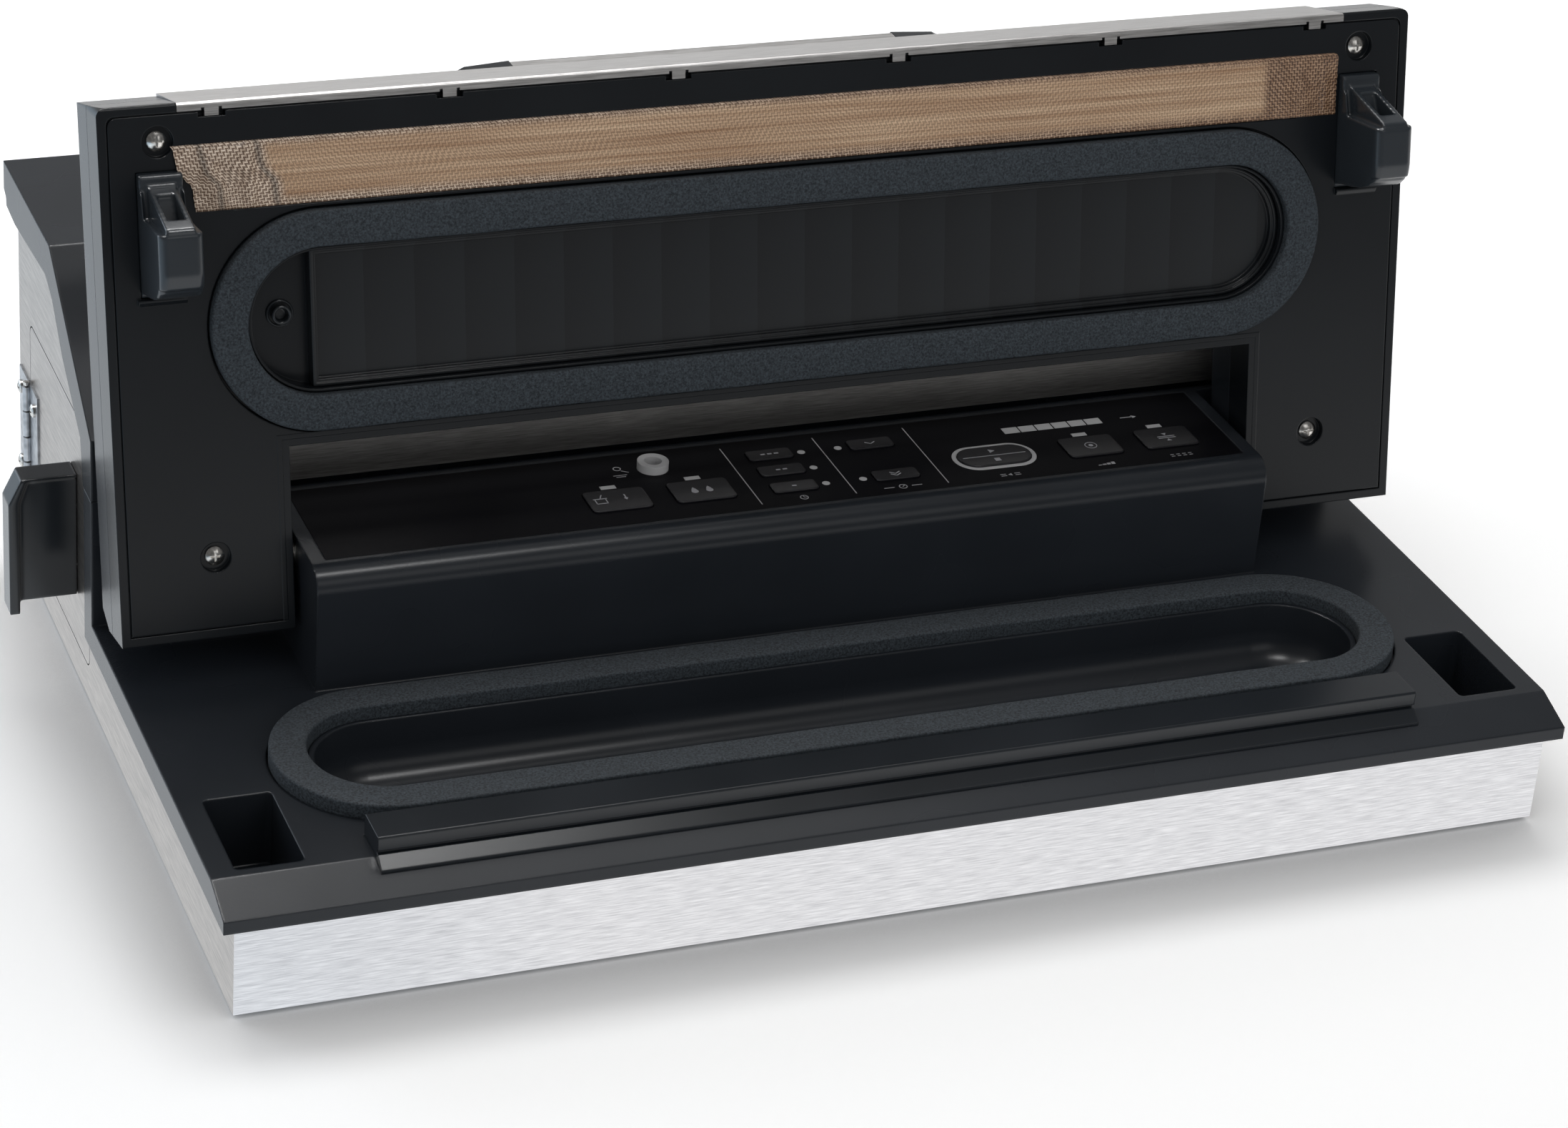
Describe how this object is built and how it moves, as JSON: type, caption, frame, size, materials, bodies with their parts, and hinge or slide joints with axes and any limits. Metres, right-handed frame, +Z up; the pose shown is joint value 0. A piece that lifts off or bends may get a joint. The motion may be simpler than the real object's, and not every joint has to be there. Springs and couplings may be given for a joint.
{
  "type": "vacuum sealer",
  "caption": "Kitchen vacuum sealer with a hinged lid held open, foam seal rings, a heated seal bar, a key panel, a roll compartment with a side door, and a carry handle.",
  "frame": {"origin": "centre of the whole outline, on the table under the feet, with the lid open and the door shut", "axes": "+X to the user's right along the lid's hinge, +Y from the front edge to the rear panel, +Z up"},
  "size_m": [0.51, 0.3244, 0.2464],
  "materials": {
    "steel": "fine brushed stainless sheet",
    "zinc_steel": "plain zinc-plated sheet",
    "dark_abs": "satin moulded dark grey ABS",
    "gloss_abs": "glossy moulded black ABS",
    "grey_abs": "satin moulded light grey ABS",
    "foam": "closed-cell foam rubber, fine matt grain",
    "seal_silicone": "smooth silicone rubber",
    "foot_rubber": "matt moulded rubber",
    "overlay": "printed polycarbonate film, glossy",
    "key_film": "embossed polycarbonate key, satin gloss",
    "silver_trim": "silvered plastic ring",
    "light_window": "milky light window",
    "board": "lacquered circuit board",
    "pump_metal": "die-cast housing with a plain steel can",
    "iron_core": "varnished laminated core",
    "screw_steel": "nickel-plated steel",
    "heater_carrier": "heat-proof moulded phenolic",
    "heater_strip": "flat nickel-chromium strip",
    "seal_tape": "woven glass cloth with a non-stick coating"
  },
  "bodies": {
    "base": {"bottom_plate": "zinc_steel", "steel_wrap": "steel", "rear_panel": "zinc_steel", "rubber_feet": "foot_rubber", "base_screws": "screw_steel", "top_casing": "dark_abs", "lower_gasket": "foam", "seal_rubber": "seal_silicone", "control_overlay": "overlay", "start_ring": "silver_trim", "indicator_windows": "light_window", "hose_port": "grey_abs", "control_board": "board", "pump_left": "pump_metal", "pump_right": "pump_metal", "transformer": "iron_core", "rear_cover": "dark_abs", "cover_inlay": "steel", "handle_ends": "gloss_abs", "handle_grip": "steel", "handle_screws": "screw_steel", "roll_tray": "dark_abs", "body_leaf": "zinc_steel", "door_hinge_pin": "screw_steel", "leaf_screws": "screw_steel"},
    "lid": {"lid_shell": "dark_abs", "lid_panel": "dark_abs", "lid_cover": "steel", "upper_gasket": "foam", "chamber_tray": "gloss_abs", "suction_valve": "gloss_abs", "heater_bar": "heater_carrier", "heater_wires": "heater_strip", "seal_tape": "seal_tape", "hook_left": "gloss_abs", "hook_right": "gloss_abs", "lid_screws": "screw_steel", "lid_hinge_pins": "screw_steel"},
    "door": {"side_door": "steel", "door_pull": "gloss_abs", "door_leaf": "zinc_steel", "door_screws": "screw_steel"},
    "canister_key": {"canister_key": "key_film"},
    "marinate_key": {"marinate_key": "key_film"},
    "seal_time_key_1": {"seal_time_key_1": "key_film"},
    "seal_time_key_2": {"seal_time_key_2": "key_film"},
    "seal_time_key_3": {"seal_time_key_3": "key_film"},
    "vacuum_key_1": {"vacuum_key_1": "key_film"},
    "vacuum_key_2": {"vacuum_key_2": "key_film"},
    "start_key": {"start_key": "key_film"},
    "manual_key": {"manual_key": "key_film"},
    "seal_key": {"seal_key": "key_film"},
    "catch_left": {"catch_left": "zinc_steel"},
    "catch_right": {"catch_right": "zinc_steel"}
  },
  "joints": [
    {"name": "lid_hinge", "type": "hinge", "parent": "base", "child": "lid", "pos_m": [0.01, 0.0025, 0.0775], "axis": [1, 0, 0], "range_deg": [0, 101.2]},
    {"name": "door_hinge", "type": "hinge", "parent": "base", "child": "door", "pos_m": [-0.2319, 0.1423, 0.06], "axis": [0, 0, -1], "range_deg": [0, 110]},
    {"name": "canister_key_press", "type": "slide", "parent": "base", "child": "canister_key", "axis": [0, 0, -1], "range_m": [0, 0.0008], "stiffness_N_per_m": 900},
    {"name": "marinate_key_press", "type": "slide", "parent": "base", "child": "marinate_key", "axis": [0, 0, -1], "range_m": [0, 0.0008], "stiffness_N_per_m": 900},
    {"name": "seal_time_key_1_press", "type": "slide", "parent": "base", "child": "seal_time_key_1", "axis": [0, 0, -1], "range_m": [0, 0.0008], "stiffness_N_per_m": 900},
    {"name": "seal_time_key_2_press", "type": "slide", "parent": "base", "child": "seal_time_key_2", "axis": [0, 0, -1], "range_m": [0, 0.0008], "stiffness_N_per_m": 900},
    {"name": "seal_time_key_3_press", "type": "slide", "parent": "base", "child": "seal_time_key_3", "axis": [0, 0, -1], "range_m": [0, 0.0008], "stiffness_N_per_m": 900},
    {"name": "vacuum_key_1_press", "type": "slide", "parent": "base", "child": "vacuum_key_1", "axis": [0, 0, -1], "range_m": [0, 0.0008], "stiffness_N_per_m": 900},
    {"name": "vacuum_key_2_press", "type": "slide", "parent": "base", "child": "vacuum_key_2", "axis": [0, 0, -1], "range_m": [0, 0.0008], "stiffness_N_per_m": 900},
    {"name": "start_key_press", "type": "slide", "parent": "base", "child": "start_key", "axis": [0, 0, -1], "range_m": [0, 0.0008], "stiffness_N_per_m": 900},
    {"name": "manual_key_press", "type": "slide", "parent": "base", "child": "manual_key", "axis": [0, 0, -1], "range_m": [0, 0.0008], "stiffness_N_per_m": 900},
    {"name": "seal_key_press", "type": "slide", "parent": "base", "child": "seal_key", "axis": [0, 0, -1], "range_m": [0, 0.0008], "stiffness_N_per_m": 900},
    {"name": "catch_left_slide", "type": "slide", "parent": "base", "child": "catch_left", "axis": [0, 1, 0], "range_m": [0, 0.006]},
    {"name": "catch_right_slide", "type": "slide", "parent": "base", "child": "catch_right", "axis": [0, 1, 0], "range_m": [0, 0.006]}
  ]
}
